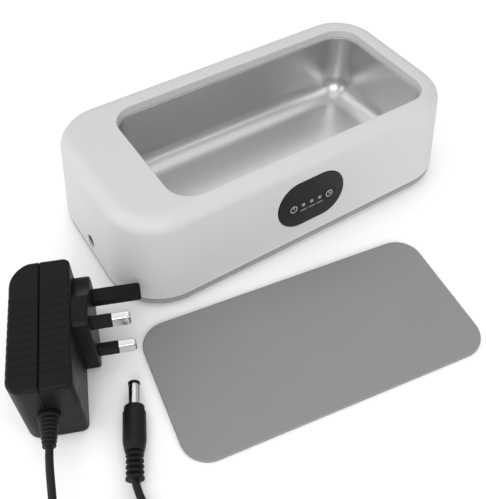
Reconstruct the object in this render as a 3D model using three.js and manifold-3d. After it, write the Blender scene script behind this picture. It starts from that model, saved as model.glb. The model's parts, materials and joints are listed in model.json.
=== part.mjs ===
// Ultrasonic cleaner for glasses and jewellery, with its loose lid and its plug-in mains adaptor.
// Millimetres, +Z up. The origin is the centre of the flat underside of the base cover, X runs along
// the tank and the control panel faces -Y. The lid and the adaptor lie on the surface that the
// cleaner's rubber feet stand on.
import * as THREE from "three";
import { mergeVertices } from "three/addons/utils/BufferGeometryUtils.js";
import Module from "manifold-3d";

const wasm = await Module();
wasm.setup();

// ---------------------------------------------------------------- driving dimensions
const GAP = 0.3; // clearance between pieces that touch
const FOOT_DROP = 1.5;
const FLOOR = -FOOT_DROP;

const SHELL = {
  length: 200, width: 99.6, corner: 25.8, height: 55, edge: 8, innerEdge: 4.2, wall: 2.2, bottom: 5.5,
};
const DRAFT = 0.111; // how much each wall spreads per millimetre down
const SHOULDER = SHELL.height - SHELL.edge;

const OPENING = { length: 156.2, width: 77, corner: 13.6, x: 9, y: -2.6, depth: 5, lip: 0.6, wall: 2.2 };
const TANK = { ledge: 0.3, sheet: 0.8, floor: 11.2, fillet: 12, draft: 0.035, flange: 4.4, corner: 0.8 };
const TANK_TOP = SHELL.height - OPENING.depth - GAP;
const SEAL = { inner: OPENING.wall + GAP, bottom: TANK_TOP + GAP, bead: 1 };
const TRANSDUCER = { radius: 20, thick: 2.6 };

const BASE = { length: 208.8, width: 108.4, corner: 30.2, top: 4.7, edge: 2.9, floor: 2 };
const TONGUE = { length: 203.4, width: 103, corner: 27.4, wall: 1.4, top: 8 };

const CORNERS = { rear_right: [1, 1], rear_left: [-1, 1], front_left: [-1, -1], front_right: [1, -1] };
const FOOT = { x: 72, y: 34, radius: 5, tread: 4.4, top: 0.5, recess: 0.8 };
const SCREW = { x: 90.6, y: 40.4, seat: 4, shank: 1.2, head: 2.7, length: 16 };
const CROSS = { half: 1.5, width: 0.6, bottom: 1, top: 2.6 }; // the recess in a screw's head
const BORE = { head: 3.1, shank: 1.7 }; // the base cover's holes round a screw
const PILLAR = { radius: 4.4, top: 8 };
const SCREW_BOSS = { radius: 3.6, bottom: 8.6, pilot: 24 };

const PANEL = { x: 0.9, z: 28.8, length: 42, height: 28, proud: 0.4 };
const BUTTON = { radius: 3.7, x: 11.3, y: -1.3, rim: 4.4, travel: 0.5 };
const LED = { radius: 1.2, pitch: 5.15, y: -1, foot: 1.7 };
const LED_CHIP = { length: 2.4, width: 1.6, height: 1.6 };
const KEY_BOARD = { length: 34, bottom: -9, top: 6, back: -9.1, front: -7.9 };
const KEY_BOARD_POST = { radius: 1.5, x: 5.6, y: -5.6 };
const TACT_SWITCH = { half: 2.2, plunger: 1, stroke: 0.6 };

const JACK = { y: -2.5, z: 12.5, hole: 3.7, length: 13.5, width: 9, bottom: -4.8, top: 6.2 };
const JACK_MOUTH = { collar: 3.3, proud: 3.2, bore: 2.85, depth: 8, pin: 1, pinReach: 1.2 };

const MAIN_BOARD = { x0: -97, x1: -72.5, y0: -32, y1: 28, bottom: 4.4, top: 6 };
const BOARD_POST = { x: -76, inset: 4, radius: 2.4, hole: 1.6 };
const INDUCTOR = { x: -89, y: 16, outer: 7, inner: 3, height: 9 };
const CAPACITOR = { x: -78, y: -16, radius: 4, height: 12 };
const HEATSINK = { x0: -96, x1: -82, y0: -29, y1: -20, sheet: 1.5, height: 18 };
const TRANSISTOR = { x0: -92, x1: -86, y0: -27, y1: -22.5, height: 14 };
const WIRE = { cable: 1, single: 0.8, apart: 5 };

const LID = { length: 155.4, width: 76.2, corner: 13.2, thickness: 2.5, edge: 0.4 };
const LID_PLACE = { x: -36.5, y: -107.5, turn: -9 };

const ADAPTOR = { depth: 27, height: 67, width: 42, wall: 2, edge: 1.5 };
const ADAPTOR_CORNER = { front: 3, backTop: 12, backBottom: 7 };
const ADAPTOR_BOARD = { x: -9.5, thick: 1.6, y0: -24, y1: 20, z0: 4, z1: 38 };
const TRANSFORMER = { x0: -7.6, x1: 7, half: 8, z0: 12, z1: 30 };
const RESERVOIR = { radius: 4.5, y: -18, z0: 8, z1: 22 };
const ADAPTOR_PLACE = { x: -147.5, y: -56.5, turn: -22 };
const BOSS = { top: 33, bottom: -4, narrow: 20, wide: 39, rise: 7, waist: 14 };
const EARTH_PIN = { thick: 4, tall: 8, reach: 22.7, y: 24 };
const POWER_PIN = { wide: 6.35, thick: 4, reach: 17.7, sleeve: 9.4, y: 1.8, side: 11.1 };
const PIN_SHAFT = { thick: 2, wide: 4 };
const RELIEF = { neck: 3.9, collar: 4.8, tip: 2.7, length: 14.5, ridges: 6 };

const CORD_RADIUS = 1.7;
const PLUG = { handle: 5.2, handleLength: 21.5, relief: 12.5, rings: 5, ring: 3.9, groove: 2.3 };
const BARREL = { radius: 2.75, length: 12, bore: 1.5, seat: 2.3, tipLength: 1.5, tipBore: 1.25 };
const PLUG_PLACE = { x: -121, y: -84, turn: -26 };
const COIL = { x: -164, y: -163, inner: 14.7, outer: 26.2, bottom: -0.6, top: 14 };
const TIE = { angle: -70, inner: 13.9, outer: 26.5, sheet: 0.6, width: 7 };

const CORNER_STEPS = 6;
const ROUND_STEPS = 16;

// ---------------------------------------------------------------- materials
const plastic = (color, roughness = 0.5) =>
  new THREE.MeshStandardMaterial({ color, roughness, metalness: 0 });
const metal = (color, roughness = 0.3) =>
  new THREE.MeshStandardMaterial({ color, roughness, metalness: 1 });
const MATERIALS = {
  whitePlastic: plastic("#d6d6d6", 0.45),
  greyPlastic: plastic("#8c8c8c", 0.5),
  lidPlastic: plastic("#8f8f8f", 0.5),
  panelBlack: plastic("#303030", 0.35),
  lens: plastic("#a0a0a0", 0.3),
  blackPlastic: plastic("#232323", 0.5),
  cordBlack: plastic("#1a1a1a", 0.6),
  rubber: plastic("#3c3c3c", 0.9),
  silicone: plastic("#c8c8c8", 0.7),
  circuitBoard: plastic("#2f5a3c", 0.6),
  component: plastic("#26282c", 0.5),
  ceramic: plastic("#c9b98f", 0.6),
  steel: metal("#bdbdbd", 0.28),
  plated: metal("#c9c9c9", 0.25),
  copper: metal("#b0703c", 0.4),
  aluminium: metal("#b4b6b8", 0.4),
};

// ---------------------------------------------------------------- solids
function toSolid(geometry) {
  const loose = geometry.clone();
  loose.deleteAttribute("normal");
  loose.deleteAttribute("uv");
  const merged = mergeVertices(loose, 1e-3);
  const vertProperties = new Float32Array(merged.attributes.position.array);
  const triVerts = new Uint32Array(merged.index.array);
  return new wasm.Manifold(new wasm.Mesh({ numProp: 3, vertProperties, triVerts }));
}

function toGeometry(solid) {
  const mesh = solid.getMesh();
  const geometry = new THREE.BufferGeometry();
  geometry.setAttribute("position", new THREE.BufferAttribute(mesh.vertProperties, 3));
  geometry.setIndex(new THREE.BufferAttribute(mesh.triVerts, 1));
  return geometry;
}

const join = (first, ...others) =>
  toGeometry(others.reduce((solid, other) => solid.add(toSolid(other)), toSolid(first)));
const cut = (first, ...others) =>
  toGeometry(others.reduce((solid, other) => solid.subtract(toSolid(other)), toSolid(first)));
const common = (first, second) => toGeometry(toSolid(first).intersect(toSolid(second)));

// A box between two corners.
function box(x0, x1, y0, y1, z0, z1) {
  const geometry = new THREE.BoxGeometry(x1 - x0, y1 - y0, z1 - z0);
  return geometry.translate((x0 + x1) / 2, (y0 + y1) / 2, (z0 + z1) / 2);
}

// A cylinder that stands on z0, centred on x, y.
function post(radius, z0, z1, x = 0, y = 0, steps = ROUND_STEPS) {
  const geometry = new THREE.CylinderGeometry(radius, radius, z1 - z0, steps);
  return geometry.rotateX(Math.PI / 2).translate(x, y, (z0 + z1) / 2);
}

// A turned solid about Z, from a profile of [radius, z] that starts and ends on the axis.
function turned(profile, steps = ROUND_STEPS) {
  const points = profile.map(([radius, z]) => new THREE.Vector2(radius, z));
  return new THREE.LatheGeometry(points, steps).rotateX(Math.PI / 2);
}

// The outline of a rectangle with round corners at one height, anticlockwise from above.
function ring(length, width, corner, z, x = 0, y = 0) {
  const points = [];
  Object.values(CORNERS).forEach(([sx, sy], quarter) => {
    for (let i = 0; i <= CORNER_STEPS; i++) {
      const angle = ((quarter + i / CORNER_STEPS) * Math.PI) / 2;
      const px = x + sx * (length / 2 - corner) + corner * Math.cos(angle);
      const py = y + sy * (width / 2 - corner) + corner * Math.sin(angle);
      points.push(new THREE.Vector3(px, py, z));
    }
  });
  return points;
}

// A solid skinned over rings of equal count. Its ends are flat caps, or the last ring joins the first.
function skin(rings, closed = false) {
  const count = rings[0].length;
  const index = [];
  const spans = closed ? rings.length : rings.length - 1;
  for (let i = 0; i < spans; i++) {
    const low = i * count;
    const high = ((i + 1) % rings.length) * count;
    for (let j = 0; j < count; j++) {
      const k = (j + 1) % count;
      index.push(low + j, low + k, high + k, low + j, high + k, high + j);
    }
  }
  if (!closed) {
    const cap = (outline) =>
      THREE.ShapeUtils.triangulateShape(outline.map((p) => new THREE.Vector2(p.x, p.y)), []);
    cap(rings[0]).forEach(([a, b, c]) => index.push(a, c, b));
    const last = (rings.length - 1) * count;
    cap(rings[rings.length - 1]).forEach(([a, b, c]) => index.push(last + a, last + b, last + c));
  }
  const geometry = new THREE.BufferGeometry();
  const positions = rings.flat().flatMap((p) => [p.x, p.y, p.z]);
  geometry.setAttribute("position", new THREE.Float32BufferAttribute(positions, 3));
  geometry.setIndex(index);
  return geometry;
}

// A plain tube of a round section along a smooth curve through points.
function tube(points, radius, steps, sides = 8) {
  const curve = new THREE.CatmullRomCurve3(points.map((p) => new THREE.Vector3(...p)));
  const section = new THREE.Shape();
  for (let i = 0; i < sides; i++) {
    const angle = (i / sides) * 2 * Math.PI;
    const [x, y] = [radius * Math.cos(angle), radius * Math.sin(angle)];
    if (i === 0) section.moveTo(x, y);
    else section.lineTo(x, y);
  }
  section.closePath();
  return new THREE.ExtrudeGeometry(section, { steps, extrudePath: curve, bevelEnabled: false });
}

function mesh(name, geometry, material) {
  const made = new THREE.Mesh(geometry, material);
  made.name = name;
  return made;
}

// One of something at each corner, at plus and minus x and y.
const atCorners = ({ x, y }, make) => Object.values(CORNERS).map(([sx, sy]) => make(sx * x, sy * y));

function place(group, { x = 0, y = 0, z = 0, turn = 0 }) {
  group.position.set(x, y, z);
  group.rotation.z = THREE.MathUtils.degToRad(turn);
  return group;
}

const cleaner = new THREE.Group();

// ---------------------------------------------------------------- upper shell
// The ring of the shell's wall at height z, moved in by inset from the outer face.
function wallRing(z, inset) {
  const spread = DRAFT * (SHOULDER - z) - inset;
  return ring(SHELL.length + 2 * spread, SHELL.width + 2 * spread, SHELL.corner + spread, z);
}

// The rings of a rounded top edge, moved in from the outer faces, up to its flat deck.
function edgeRings(inset, radius, steps = 5) {
  return Array.from({ length: steps }, (_, i) => {
    const angle = ((i + 1) / steps) * (Math.PI / 2);
    const sunk = inset + radius * (1 - Math.cos(angle));
    const z = SHELL.height - inset - radius * (1 - Math.sin(angle));
    return ring(SHELL.length - 2 * sunk, SHELL.width - 2 * sunk, SHELL.corner - sunk, z);
  });
}

function openingRing(z, grow) {
  const [length, width] = [OPENING.length + 2 * grow, OPENING.width + 2 * grow];
  return ring(length, width, OPENING.corner + grow, z, OPENING.x, OPENING.y);
}

const envelope = skin([wallRing(SHELL.bottom, 0), wallRing(SHOULDER, 0), ...edgeRings(0, SHELL.edge)]);

const PANEL_TILT = Math.PI / 2 - Math.atan(DRAFT);
const PANEL_FACE_Y = -(SHELL.width / 2 + DRAFT * (SHOULDER - PANEL.z));

// The panel's own frame: X along it, Y up the front wall, Z out of it, and 0 on the wall's face.
function placePanel(object) {
  object.position.set(PANEL.x, PANEL_FACE_Y, PANEL.z);
  object.rotation.x = PANEL_TILT;
  object.updateMatrix();
  return object;
}

const stadium = (length, height, z) => ring(length, height, height / 2 - 0.01, z);

function panelHole() {
  const hole = skin([stadium(PANEL.length, PANEL.height, -5), stadium(PANEL.length, PANEL.height, 4)]);
  return hole.applyMatrix4(placePanel(new THREE.Object3D()).matrix);
}

function upperShell() {
  const deck = SHELL.height;
  const lipSteps = 3;
  const lip = Array.from({ length: lipSteps + 1 }, (_, i) => {
    const angle = (i / lipSteps) * (Math.PI / 2);
    const z = deck - OPENING.lip * (1 - Math.cos(angle));
    return openingRing(z, OPENING.lip * (1 - Math.sin(angle)));
  });
  const body = skin([
    wallRing(SHELL.bottom, 0),
    wallRing(SHOULDER, 0),
    ...edgeRings(0, SHELL.edge),
    ...lip,
    openingRing(deck - OPENING.depth, 0),
    openingRing(deck - OPENING.depth, OPENING.wall),
    openingRing(deck - SHELL.wall, OPENING.wall),
    ...edgeRings(SHELL.wall, SHELL.innerEdge, 4).reverse(),
    wallRing(SHOULDER, SHELL.wall),
    wallRing(SHELL.bottom, SHELL.wall),
  ], true);
  const bosses = atCorners(SCREW, (x, y) =>
    common(post(SCREW_BOSS.radius, SCREW_BOSS.bottom, SHOULDER, x, y), envelope));
  const pilots = atCorners(SCREW, (x, y) => post(SCREW.shank + GAP, PILLAR.top, SCREW_BOSS.pilot, x, y, 8));
  const jackHole = post(JACK.hole, -9, 3).rotateY(Math.PI / 2).translate(-SHELL.length / 2, JACK.y, JACK.z);
  return cut(join(body, ...bosses), ...pilots, panelHole(), jackHole);
}

cleaner.add(mesh("upper_shell", upperShell(), MATERIALS.whitePlastic));

// ---------------------------------------------------------------- base cover, feet and screws
const boardPostY = [MAIN_BOARD.y0 + BOARD_POST.inset, MAIN_BOARD.y1 - BOARD_POST.inset];

function baseCover() {
  const outline = (z, inset) =>
    ring(BASE.length - 2 * inset, BASE.width - 2 * inset, BASE.corner - inset, z);
  const tongue = (z, inset) =>
    ring(TONGUE.length - 2 * inset, TONGUE.width - 2 * inset, TONGUE.corner - inset, z);
  const edgeSteps = 5;
  const edge = Array.from({ length: edgeSteps + 1 }, (_, i) => {
    const angle = (i / edgeSteps) * (Math.PI / 2);
    return outline(BASE.edge * (1 - Math.sin(angle)), BASE.edge * (1 - Math.cos(angle)));
  }).reverse();
  const tray = skin([
    ...edge,
    outline(BASE.top, 0),
    tongue(BASE.top, 0),
    tongue(TONGUE.top, 0),
    tongue(TONGUE.top, TONGUE.wall),
    tongue(BASE.floor, TONGUE.wall),
  ]);
  const pillars = atCorners(SCREW, (x, y) => post(PILLAR.radius, 1, PILLAR.top, x, y));
  const counterbores = atCorners(SCREW, (x, y) => post(BORE.head, -1, SCREW.seat, x, y, 12));
  const clearances = atCorners(SCREW, (x, y) => post(BORE.shank, 3, PILLAR.top + 1, x, y, 12));
  const recesses = atCorners(FOOT, (x, y) => post(FOOT.radius + GAP, -1, FOOT.recess, x, y));
  const boardPosts = boardPostY.map((y) =>
    post(BOARD_POST.radius, 1, MAIN_BOARD.bottom - GAP, BOARD_POST.x, y, 12));
  return cut(join(tray, ...pillars, ...boardPosts), ...counterbores, ...clearances, ...recesses);
}

cleaner.add(mesh("base_cover", baseCover(), MATERIALS.greyPlastic));

function foot() {
  const rim = FLOOR + 0.6;
  return turned([
    [0, FLOOR], [FOOT.tread, FLOOR], [FOOT.radius, rim], [FOOT.radius, FOOT.top], [0, FOOT.top],
  ]);
}

function baseScrew() {
  const under = SCREW.seat - GAP;
  const blank = turned([
    [0, under - 2], [1.9, under - 2], [SCREW.head, under - 1.2], [SCREW.head, under],
    [SCREW.shank, under], [SCREW.shank, under + SCREW.length - 1.6], [0, under + SCREW.length],
  ], 12);
  const [long, short] = [CROSS.half, CROSS.width / 2];
  return cut(
    blank,
    box(-long, long, -short, short, CROSS.bottom, CROSS.top),
    box(-short, short, -long, long, CROSS.bottom, CROSS.top),
  );
}

for (const [corner, [sx, sy]] of Object.entries(CORNERS)) {
  const tread = foot().translate(sx * FOOT.x, sy * FOOT.y, 0);
  const screw = baseScrew().translate(sx * SCREW.x, sy * SCREW.y, 0);
  cleaner.add(
    mesh(`foot_${corner}`, tread, MATERIALS.rubber),
    mesh(`base_screw_${corner}`, screw, MATERIALS.plated),
  );
}

// ---------------------------------------------------------------- tank, its seal and the transducer
const tankRing = (z, inset) => {
  const open = TANK.ledge + inset;
  const corner = Math.max(OPENING.corner - open, TANK.corner);
  return ring(OPENING.length - 2 * open, OPENING.width - 2 * open, corner, z, OPENING.x, OPENING.y);
};

// The rings from the tank's floor up its bottom fillet, moved out by a sheet thickness.
function filletRings(out, steps = 6) {
  const wallInset = TANK.draft * (TANK_TOP - TANK.floor - TANK.fillet);
  return Array.from({ length: steps + 1 }, (_, i) => {
    const angle = (i / steps) * (Math.PI / 2);
    const reach = TANK.fillet + out;
    const z = TANK.floor + TANK.fillet - reach * Math.cos(angle);
    return tankRing(z, wallInset + TANK.fillet - reach * Math.sin(angle));
  });
}

const tank = skin([
  ...filletRings(TANK.sheet),
  tankRing(TANK_TOP - TANK.sheet, -TANK.sheet),
  tankRing(TANK_TOP - TANK.sheet, -TANK.flange),
  tankRing(TANK_TOP, -TANK.flange),
  tankRing(TANK_TOP, 0),
  ...filletRings(0).reverse(),
]);
cleaner.add(mesh("tank", tank, MATERIALS.steel));

const seal = skin([
  openingRing(SEAL.bottom, SEAL.inner + SEAL.bead),
  openingRing(SEAL.bottom + SEAL.bead, SEAL.inner + SEAL.bead),
  openingRing(SEAL.bottom + SEAL.bead, SEAL.inner),
  openingRing(SEAL.bottom, SEAL.inner),
], true);
cleaner.add(mesh("tank_seal", seal, MATERIALS.silicone));

const discTop = TANK.floor - TANK.sheet - GAP;
const disc = post(TRANSDUCER.radius, discTop - TRANSDUCER.thick, discTop, OPENING.x, OPENING.y, 32);
cleaner.add(mesh("transducer", disc, MATERIALS.ceramic));

// ---------------------------------------------------------------- drive board and DC jack
const onBoard = MAIN_BOARD.top + GAP;
const standing = ({ x0, x1, y0, y1, height }) => box(x0, x1, y0, y1, onBoard, onBoard + height);

const boardBlank = box(
  MAIN_BOARD.x0, MAIN_BOARD.x1, MAIN_BOARD.y0, MAIN_BOARD.y1, MAIN_BOARD.bottom, MAIN_BOARD.top);
const boardHoles = boardPostY.map((y) =>
  post(BOARD_POST.hole, MAIN_BOARD.bottom - 1, MAIN_BOARD.top + 1, BOARD_POST.x, y, 12));
const mainBoard = cut(boardBlank, ...boardHoles);
const inductor = cut(
  post(INDUCTOR.outer, onBoard, onBoard + INDUCTOR.height, INDUCTOR.x, INDUCTOR.y, 24),
  post(INDUCTOR.inner, onBoard - 1, onBoard + INDUCTOR.height + 1, INDUCTOR.x, INDUCTOR.y, 16),
);
const capacitor = post(CAPACITOR.radius, onBoard, onBoard + CAPACITOR.height, CAPACITOR.x, CAPACITOR.y);
const heatsink = join(
  standing({ ...HEATSINK, y1: HEATSINK.y0 + HEATSINK.sheet }),
  standing({ ...HEATSINK, x1: HEATSINK.x0 + HEATSINK.sheet }),
  standing({ ...HEATSINK, x0: HEATSINK.x1 - HEATSINK.sheet }),
);
cleaner.add(
  mesh("main_board", mainBoard, MATERIALS.circuitBoard),
  mesh("inductor", inductor, MATERIALS.copper),
  mesh("capacitor", capacitor, MATERIALS.component),
  mesh("drive_transistor", standing(TRANSISTOR), MATERIALS.component),
  mesh("heatsink", heatsink, MATERIALS.aluminium),
);

// The jack's own frame: Z out of its mouth, and 0 at the front face of its square body.
function dcJack() {
  const body = box(JACK.bottom, JACK.top, -JACK.width / 2, JACK.width / 2, -JACK.length, 0);
  const collar = post(JACK_MOUTH.collar, -1, JACK_MOUTH.proud, 0, 0, 24);
  return cut(join(body, collar), post(JACK_MOUTH.bore, -JACK_MOUTH.depth, JACK_MOUTH.proud + 1, 0, 0, 20));
}
const jackPin = post(JACK_MOUTH.pin, GAP - JACK_MOUTH.depth, JACK_MOUTH.pinReach, 0, 0, 12);
const jack = new THREE.Group();
jack.position.set(-SHELL.length / 2, JACK.y, JACK.z);
jack.rotation.y = -Math.PI / 2;
jack.add(
  mesh("dc_jack", dcJack(), MATERIALS.component),
  mesh("dc_jack_pin", jackPin, MATERIALS.plated),
);
cleaner.add(jack);

// ---------------------------------------------------------------- control panel
const FLANGE = { top: -2.8, bottom: -3.8, length: 4, height: 3 }; // behind the wall, round the plate
const BUTTON_RIM_TOP = FLANGE.bottom - GAP;
const BUTTON_BACK = BUTTON_RIM_TOP - 0.8;
const SWITCH_TOP = BUTTON_BACK - BUTTON.travel - 0.2;
const LENS_BACK = KEY_BOARD.front + LED_CHIP.height;
const LED_NUMBERS = [1, 2, 3];
const ledX = (number) => (number - 2) * LED.pitch;
const buttonSides = { power: -1, timer: 1 };

function panelBezel() {
  const [length, height] = [PANEL.length - 2 * GAP, PANEL.height - 2 * GAP];
  const plate = skin([
    stadium(length, height, FLANGE.bottom),
    stadium(length, height, 0),
    stadium(length - 0.5, height - 0.5, PANEL.proud),
  ]);
  const [wide, tall] = [length + FLANGE.length, height + FLANGE.height];
  const flange = skin([stadium(wide, tall, FLANGE.bottom), stadium(wide, tall, FLANGE.top)]);
  const { radius, x, y } = KEY_BOARD_POST;
  const posts = [-1, 1].map((side) =>
    post(radius, KEY_BOARD.front + GAP, FLANGE.bottom + 0.5, side * x, y, 12));
  const buttonHoles = Object.values(buttonSides).map((side) =>
    post(BUTTON.radius + GAP, -6, 2, side * BUTTON.x, BUTTON.y, 24));
  const lensHoles = LED_NUMBERS.map((number) => post(LED.radius + GAP, -6, 2, ledX(number), LED.y, 16));
  return cut(join(plate, flange, ...posts), ...buttonHoles, ...lensHoles);
}

const button = (side) => turned([
  [0, BUTTON_BACK], [BUTTON.rim, BUTTON_BACK], [BUTTON.rim, BUTTON_RIM_TOP], [BUTTON.radius, BUTTON_RIM_TOP],
  [BUTTON.radius, 0.1], [BUTTON.radius - 0.3, PANEL.proud], [0, PANEL.proud],
], 24).translate(side * BUTTON.x, BUTTON.y, 0);

function tactSwitch(side) {
  const { half, plunger, stroke } = TACT_SWITCH;
  const body = box(-half, half, -half, half, KEY_BOARD.front + GAP, SWITCH_TOP - stroke);
  const moving = post(plunger, SWITCH_TOP - stroke - 0.4, SWITCH_TOP, 0, 0, 12);
  return join(body, moving).translate(side * BUTTON.x, BUTTON.y, 0);
}

const lens = (number) => turned([
  [0, LENS_BACK], [LED.foot, LENS_BACK], [LED.foot, FLANGE.bottom - GAP],
  [LED.radius, FLANGE.bottom - GAP], [LED.radius, PANEL.proud], [0, PANEL.proud],
], 16).translate(ledX(number), LED.y, 0);

const panel = placePanel(new THREE.Group());
panel.add(mesh("panel_bezel", panelBezel(), MATERIALS.panelBlack));
for (const [name, side] of Object.entries(buttonSides)) {
  panel.add(
    mesh(`${name}_button`, button(side), MATERIALS.panelBlack),
    mesh(`${name}_switch`, tactSwitch(side), MATERIALS.component),
  );
}
for (const number of LED_NUMBERS) {
  const [halfLength, halfWidth] = [LED_CHIP.length / 2, LED_CHIP.width / 2];
  const chip = box(-halfLength, halfLength, -halfWidth, halfWidth, KEY_BOARD.front + GAP, LENS_BACK - GAP);
  chip.translate(ledX(number), LED.y, 0);
  panel.add(
    mesh(`led_lens_${number}`, lens(number), MATERIALS.lens),
    mesh(`led_${number}`, chip, MATERIALS.ceramic),
  );
}
const halfBoard = KEY_BOARD.length / 2;
const keyBoard = box(-halfBoard, halfBoard, KEY_BOARD.bottom, KEY_BOARD.top, KEY_BOARD.back, KEY_BOARD.front);
panel.add(mesh("key_board", keyBoard, MATERIALS.circuitBoard));
cleaner.add(panel);

// ---------------------------------------------------------------- internal wires
const keyCable = [
  [-19.5, -42.6, 22], [-26, -43.8, 19], [-40, -44.8, 13], [-56, -43.4, 8.6], [-68, -36, 8.2], [-74, -28, 8.4],
];
cleaner.add(mesh("key_cable", tube(keyCable, WIRE.cable, 16), MATERIALS.rubber));
[-1, 1].forEach((side, i) => {
  const y = OPENING.y + side * WIRE.apart;
  const route = [
    [-12.2, y, 5.4], [-30, y + side * 2, 5.2], [-50, y, 5],
    [-64, y - side, 5.6], [-70, y - side, 7.4], [-74, y - side, 7.6],
  ];
  cleaner.add(mesh(`transducer_wire_${i + 1}`, tube(route, WIRE.single, 14), MATERIALS.rubber));
});

// ---------------------------------------------------------------- lid
const lidRing = (z, inset) => ring(LID.length - 2 * inset, LID.width - 2 * inset, LID.corner - inset, z);
const lid = skin([
  lidRing(0, LID.edge),
  lidRing(LID.edge, 0),
  lidRing(LID.thickness - LID.edge, 0),
  lidRing(LID.thickness, LID.edge),
]);
const lidGroup = place(new THREE.Group(), { ...LID_PLACE, z: FLOOR });
lidGroup.add(mesh("lid", lid, MATERIALS.lidPlastic));
cleaner.add(lidGroup);

// ---------------------------------------------------------------- plug-in adaptor
// Its own frame: X out of the face with the pins, Y up the case to the earth pin, Z across its width.
const MID = ADAPTOR.width / 2;
const FACE = ADAPTOR.depth / 2;
const TOP = ADAPTOR.height / 2;

// The side profile of the case: square to the wall in front, and rounded behind.
function caseOutline(inset) {
  const [x0, x1, y0, y1] = [-FACE + inset, FACE - inset, -TOP + inset, TOP - inset];
  const front = Math.max(ADAPTOR_CORNER.front - inset, 0.5);
  const backTop = ADAPTOR_CORNER.backTop - inset;
  const backBottom = ADAPTOR_CORNER.backBottom - inset;
  const shape = new THREE.Shape();
  shape.absarc(x1 - front, y0 + front, front, -Math.PI / 2, 0);
  shape.absarc(x1 - front, y1 - front, front, 0, Math.PI / 2);
  shape.absarc(x0 + backTop, y1 - backTop, backTop, Math.PI / 2, Math.PI);
  shape.absarc(x0 + backBottom, y0 + backBottom, backBottom, Math.PI, 1.5 * Math.PI);
  return shape;
}

function caseSolid(inset, bevel) {
  const geometry = new THREE.ExtrudeGeometry(caseOutline(inset + bevel), {
    depth: ADAPTOR.width - 2 * inset - 2 * bevel, curveSegments: 5, bevelEnabled: bevel > 0,
    bevelSize: bevel, bevelThickness: bevel, bevelSegments: 2,
  });
  return geometry.translate(0, 0, inset + bevel);
}

// The raised plug-shaped boss: narrow at the earth pin, wide at the two power pins.
function plugBoss() {
  const outline = new THREE.Shape([
    new THREE.Vector2(-BOSS.narrow / 2, BOSS.top), new THREE.Vector2(-BOSS.wide / 2, BOSS.waist),
    new THREE.Vector2(-BOSS.wide / 2, BOSS.bottom), new THREE.Vector2(BOSS.wide / 2, BOSS.bottom),
    new THREE.Vector2(BOSS.wide / 2, BOSS.waist), new THREE.Vector2(BOSS.narrow / 2, BOSS.top),
  ]);
  const geometry = new THREE.ExtrudeGeometry(outline, { depth: BOSS.rise + 1, bevelEnabled: false });
  return geometry.rotateY(Math.PI / 2).translate(FACE - 1, 0, MID);
}

const PIN_ROOT = FACE - 1.5;
const PIN_FACE = FACE + BOSS.rise;
const powerPinZ = { live: MID - POWER_PIN.side, neutral: MID + POWER_PIN.side };

// A bar along X of the given thickness in Y and width in Z.
const bar = (x0, x1, thick, wide, y, z) =>
  box(x0, x1, y - thick / 2, y + thick / 2, z - wide / 2, z + wide / 2);

const reliefHole = (radius) => post(radius, -4, 4, 0, 0, 20).rotateX(Math.PI / 2).translate(0, -TOP, MID);

function caseHalf(front) {
  const half = front
    ? box(GAP / 2, FACE + 20, -TOP - 5, TOP + 5, -5, ADAPTOR.width + 5)
    : box(-FACE - 5, -GAP / 2, -TOP - 5, TOP + 5, -5, ADAPTOR.width + 5);
  const hollow = cut(caseSolid(0, ADAPTOR.edge), caseSolid(ADAPTOR.wall, 0), reliefHole(RELIEF.neck + GAP));
  const shell = common(hollow, half);
  if (!front) return shell;
  const grow = 2 * GAP;
  const [from, to] = [FACE - 4, PIN_FACE + 1];
  const slots = Object.values(powerPinZ).map((z) =>
    bar(from, to, POWER_PIN.thick + grow, POWER_PIN.wide + grow, POWER_PIN.y, z));
  const earthSlot = bar(from, to, EARTH_PIN.tall + grow, EARTH_PIN.thick + grow, EARTH_PIN.y, MID);
  return cut(join(shell, plugBoss()), ...slots, earthSlot);
}

// Turns a blade that is built along Z so that it points out of the face.
const layAlongX = (blade, y, z) => blade.rotateY(Math.PI / 2).translate(0, y, z);

function powerPin(z) {
  const tip = PIN_FACE + POWER_PIN.reach;
  const start = PIN_FACE + POWER_PIN.sleeve + GAP;
  const shaft = bar(PIN_ROOT, start + 1, PIN_SHAFT.thick, PIN_SHAFT.wide, POWER_PIN.y, z);
  const blade = skin([
    ring(POWER_PIN.wide, POWER_PIN.thick, 0.4, start), ring(POWER_PIN.wide, POWER_PIN.thick, 0.4, tip - 1.6),
    ring(POWER_PIN.wide - 1.6, POWER_PIN.thick - 1.8, 0.4, tip),
  ]);
  return join(shaft, layAlongX(blade, POWER_PIN.y, z));
}

function powerPinSleeve(z) {
  const [start, end] = [PIN_ROOT, PIN_FACE + POWER_PIN.sleeve];
  const outside = bar(start, end, POWER_PIN.thick, POWER_PIN.wide, POWER_PIN.y, z);
  const [thick, wide] = [PIN_SHAFT.thick + 2 * GAP, PIN_SHAFT.wide + 2 * GAP];
  return cut(outside, bar(start - 1, end + 1, thick, wide, POWER_PIN.y, z));
}

function earthPin() {
  const tip = PIN_FACE + EARTH_PIN.reach;
  const blade = skin([
    ring(EARTH_PIN.thick, EARTH_PIN.tall, 0.5, PIN_ROOT), ring(EARTH_PIN.thick, EARTH_PIN.tall, 0.5, tip - 2),
    ring(EARTH_PIN.thick - 1.8, EARTH_PIN.tall - 2.4, 0.5, tip),
  ]);
  return layAlongX(blade, EARTH_PIN.y, MID);
}

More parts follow.
